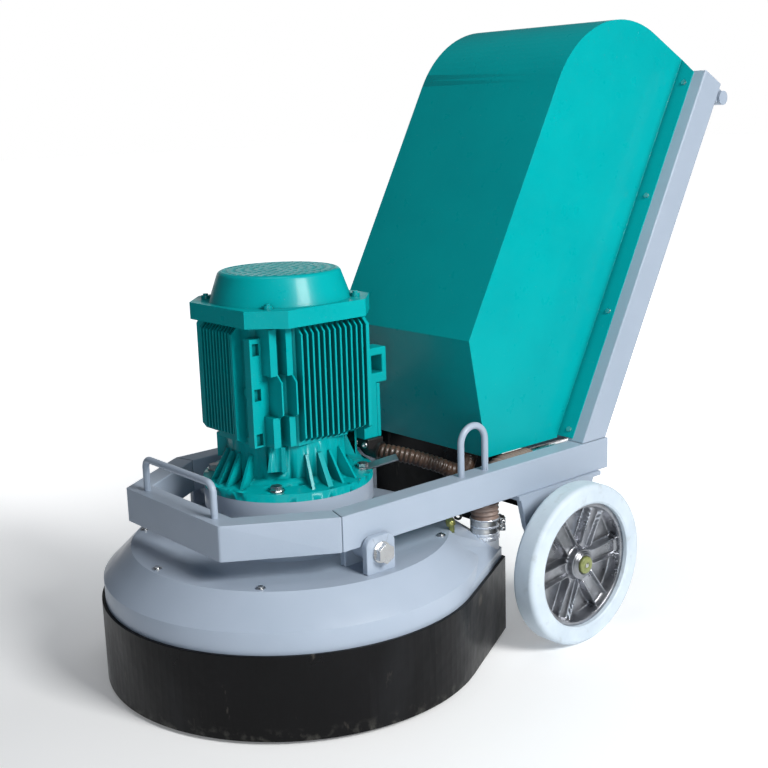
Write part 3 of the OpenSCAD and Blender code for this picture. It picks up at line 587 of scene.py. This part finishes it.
def hub_height(r, a):
    """Height of the hub's cast face, in mm over its deepest web, at radius r and angle a."""
    web = 3 * (r / HUB_RIM) ** 2
    raised = 0
    for k in range(6):
        turn = a - math.radians(60 * k + 4)
        along, across = r * math.cos(turn), abs(r * math.sin(turn))
        if along <= 0:
            continue
        half = 13.5 + 4.5 * along / HUB_RIM
        flat = 9 * smooth_step(half + 2.2, half - 0.6, across)
        rib = 9.5 * (1 - smooth_step(1.1, 2.6, abs(across - half + 1.4)))
        fade = smooth_step(BOSS_R + 2, BOSS_R + 12, along)
        raised = max(raised, flat + rib * fade)
    height = web + raised
    height = max(height, 24 * smooth_step(33, 27.5, r), 27 * smooth_step(25.5, 24, r))
    height = max(height, 26 * smooth_step(101, 108.5, r))
    if r < 20.5:
        height = 29 - 2 * smooth_step(17.5, 16.4, r)
    return height


def hub_data(outward, base, fine):
    """Points and faces of one hub: outward is +1 or -1 along X, base its middle plane, fine its web's rings."""
    radii = BOSS_RINGS + [WEB_START + i * (WEB_END - WEB_START) / fine for i in range(fine)] + EDGE_RINGS
    sides = HUB_SIDES
    points, faces = [], []
    for face in (1, -1):
        for r in radii:
            for k in range(sides):
                a = 2 * math.pi * k / sides
                h = hub_height(r, a) if face == 1 else min(hub_height(r, a), 14)
                x = base + outward * face * (1.5 + h * (1 if face == 1 else 0.9)) * MM
                spot = machine(0, WHEEL_Y + r * math.cos(a), WHEEL_Z + r * math.sin(a))
                points.append(spot + Vector((x, 0, 0)))
    rings = len(radii)
    for face in range(2):
        start = face * rings * sides
        for i in range(rings - 1):
            for k in range(sides):
                n = (k + 1) % sides
                faces.append((start + i * sides + k, start + i * sides + n, start + (i + 1) * sides + n,
                              start + (i + 1) * sides + k))
    for k in range(sides):
        n = (k + 1) % sides
        last = (rings - 1) * sides
        faces.append((last + k, last + n, rings * sides + last + n, rings * sides + last + k))
        faces.append((k, n, rings * sides + n, rings * sides + k))
    return points, faces


def make_hubs():
    # The right wheel faces the camera, so its web has more rings of points
    for side, outward, fine in (("right", 1, 66), ("left", -1, 40)):
        data = hub_data(outward, outward * HUB_X, fine)
        casting = piece("hub_casting_" + side, *data, materials["cast_aluminium"])
        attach(casting, "wheel_" + side)
        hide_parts("hub_" + side)
        middle = machine(0, WHEEL_Y, WHEEL_Z) + Vector((outward * CAP_X, 0, 0))
        place = Matrix.Translation(middle) @ axes_for((outward, 0, 0))
        cap = lathe("hub_cap_" + side, CAP_PROFILE, 64, place, olive_cap())
        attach(cap, "wheel_" + side)
        pin = lathe("hub_pin_" + side, PIN_PROFILE, 32, place, materials["bright_steel"])
        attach(pin, "wheel_" + side)


def olive_cap():
    found = bpy.data.materials.get("olive_cap")
    if found:
        return found
    made = Surface("olive_cap", 0.35)
    made.tones(rgb(112, 120, 70), rgb(140, 146, 92), 90)
    made.bump(600, 0.00006)
    return made.done()


# ------------------------------------------------------------------ hoses

# [radius, height] outline of the cuff: the sleeve's lip, then two bands that sit under the clamps
CUFF_PROFILE = [
    (22.6, 189.5), (27.2, 189.5), (27.6, 190.4), (27.6, 195.6), (26.2, 196.6), (26.2, 198), (27.4, 199),
    (27.4, 203.6), (26.1, 203.9), (26.1, 213.4), (27.3, 213.8), (27.3, 217.4), (26.1, 217.8), (26.1, 227.2),
    (27.4, 227.6), (27.7, 228.6), (27.2, 230), (24.2, 230.4)]
CLAMP_SCREW_PROFILE = [(0.6, -15), (3.2, -15), (3.4, -14.4), (3.4, 15), (4.6, 15.3), (4.9, 16), (4.9, 19),
                       (4.2, 20), (0.6, 20)]
# Length of one ridge of the hose and of the conduit, and the length of a ring of their tubes
PITCH = 8.8
RIDGE_STEP = 0.9


def corrugated(base, depth, pitch):
    """The radius, along its length, of a tube with rounded ridges."""
    def radius(at, total):
        wave = 0.5 + 0.5 * math.cos(2 * math.pi * at / pitch)
        return base - depth + depth * wave ** 0.7
    return radius


def make_hose():
    path = [machine(HOSE_X, HOSE_Y, z) for z in (222, 232, 242, HOSE_BEND_Z)]
    for k in range(1, 10):
        a = math.radians(10 * k)
        y = HOSE_Y + HOSE_BEND * (1 - math.cos(a))
        path.append(machine(HOSE_X, y, HOSE_BEND_Z + HOSE_BEND * math.sin(a)))
    path += [machine(HOSE_X, HOSE_Y + 80, HOSE_Z), machine(HOSE_X, HOSE_Y + 118, HOSE_Z)]
    tube = sweep_data(path, corrugated(26.4, 3.0, PITCH), 72, RIDGE_STEP)
    hose = piece("dust_hose", *tube, hose_skin())
    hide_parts("extraction_hose")
    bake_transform(hose)
    place = Matrix.Translation(machine(HOSE_X, HOSE_Y, 0))
    cuff = lathe("hose_cuff", CUFF_PROFILE, 96, place, cuff_skin())
    soften(cuff, 0.5)
    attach(cuff, "head")
    for z in (208.5, 222.5):
        turn = Matrix.Rotation(math.radians(55), 4, "Z")
        base = place @ turn @ Matrix.Translation((0.0315, 0, z * MM)) @ axes_for((0, 1, 0))
        screw = lathe("clamp_screw_%d" % z, CLAMP_SCREW_PROFILE, 24, base, materials["bright_steel"])
        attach(screw, "head")


def hose_skin():
    made = Surface("hose_skin", 0.4)
    made.tones(rgb(98, 80, 72), rgb(150, 130, 120), 22, detail=6)
    pale = made.ramp(made.noise(8, detail=3), 0.45, 0.65)
    made.over(made.share(pale, 0.5), rgb(168, 158, 152))
    made.rough(0.3, 0.5, 40)
    made.bump(300, 0.0002)
    return made.done()


def cuff_skin():
    made = Surface("cuff_skin", 0.22, metallic=0.55, coat=0.4)
    made.tones(rgb(188, 194, 204), rgb(218, 224, 232), 30, detail=4)
    made.rough(0.16, 0.34, 60)
    made.bump(400, 0.00008)
    return made.done()


# Points along the middle of the motor's conduit, from the terminal box to the hood
CONDUIT = [
    (46, 146, 391), (46, 146, 381), (52, 148, 371), (72, 156, 366), (90, 166, 364), (106, 177, 361),
    (122, 189, 357), (138, 204, 350), (150, 222, 342), (158, 244, 330), (157, 266, 321), (150, 286, 317),
    (140, 304, 318), (130, 320, 324), (124, 332, 336), (122, 336, 352)]
GLAND_SCREW_PROFILE = [(5, -2), (5.2, 0), (5.2, 2.6), (4.4, 3.8), (2.4, 4), (2.2, 2), (0.3, 2)]


def elbow_radius(at, total):
    """The elbow's tube is a little thicker at both ends."""
    return 17.6 if at < 5 or at > total - 6 else 16.6


def make_conduit():
    path = [machine(*p) for p in CONDUIT[2:]]
    ridges = sweep_data(path, corrugated(14.4, 2.1, PITCH), 56, RIDGE_STEP)
    tube = piece("motor_cable_conduit", *ridges, conduit_skin())
    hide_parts("motor_conduit")
    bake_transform(tube)
    bend = sweep_data([machine(*p) for p in CONDUIT[:4]], elbow_radius, 48, 1.2)
    elbow = piece("conduit_elbow", *bend, materials["black_plastic"])
    soften(elbow, 0.6)
    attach(elbow, "head")
    low = machine(30, 128, 372)
    block = box_data(low, low + Vector((0.040, 0.036, 0.0195)))
    plate = piece("conduit_gland_plate", *block, materials["black_plastic"], smooth=False)
    soften(plate, 2)
    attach(plate, "head")
    for i, x in enumerate((36, 62)):
        turned("gland_screw_%d" % i, (x, 127, 381), (0.5, -1, 0), GLAND_SCREW_PROFILE,
               materials["bright_steel"], "head", 28)


def conduit_skin():
    made = Surface("conduit_skin", 0.34)
    made.tones(rgb(42, 32, 26), rgb(78, 58, 46), 26, detail=6)
    made.rough(0.25, 0.5, 50)
    made.bump(300, 0.00015)
    return made.done()


def brass():
    made = Surface("brass", 0.3, metallic=1.0)
    made.tones(rgb(160, 160, 96), rgb(206, 204, 132), 60)
    made.bump(500, 0.00005)
    return made.done()


# ------------------------------------------------------------------ small pieces

TAP_PROFILE = [(0.3, -16), (6, -16), (6.5, -15), (6.5, -6), (8.6, -5), (8.6, 5), (6, 6), (5, 14), (3.6, 15),
               (3.6, 19), (0.3, 19)]
FLAP_BOLT_PROFILE = [(0.3, -1), (9, -1), (9, 1.2), (6, 1.6), (6, 5), (5, 6), (0.3, 6)]


def make_tap():
    """Brass tap on the shroud, with its black lever ring."""
    turned("tap_body", (199, 205, 248), (0.2, 0.1, -1), TAP_PROFILE, brass(), "head", 24)
    angles = [2 * math.pi * k / 16 for k in range(17)]
    ring = [machine(198 + 6.5 * math.cos(a), 224 + 2 * math.cos(a), 256 + 6.5 * math.sin(a)) for a in angles]
    lever = piece("tap_lever", *sweep_data(ring, lambda at, total: 2.4, 12, 2), materials["black_plastic"])
    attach(lever, "head")
    arm = [machine(199, 206, 258), machine(199, 213, 262), machine(199, 220, 266)]
    stem = piece("tap_stem", *sweep_data(arm, lambda at, total: 2.6, 16, 3), materials["bright_steel"])
    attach(stem, "head")


def make_strap():
    """Flat strap from a flange bolt to the motor's conduit."""
    points, faces = box_data(Vector((0, -0.008, -0.0015)), Vector((0.060, 0.008, 0.0015)))
    place = Matrix.Translation(machine(97, 97, 353))
    for degrees, axis in ((62, "Z"), (-13, "Y"), (26, "X")):
        place = place @ Matrix.Rotation(math.radians(degrees), 4, axis)
    points = [place @ p for p in points]
    strap = piece("conduit_strap", points, faces, materials["cast_aluminium"], smooth=False)
    soften(strap, 0.8)
    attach(strap, "head")


def make_flap_bolts():
    """The two bolts at the upper corners of the splash flap's hanging part."""
    for x in (-196, 196):
        turned("flap_bolt_%d" % x, (x, FLAP_Y, 262), (0, -1, 0), FLAP_BOLT_PROFILE, materials["bright_steel"],
               "frame", 24)


make_camera()
make_stage()
materials = make_materials()
finish_cad()
make_hubs()
make_hose()
make_conduit()
make_tap()
make_strap()
make_flap_bolts()
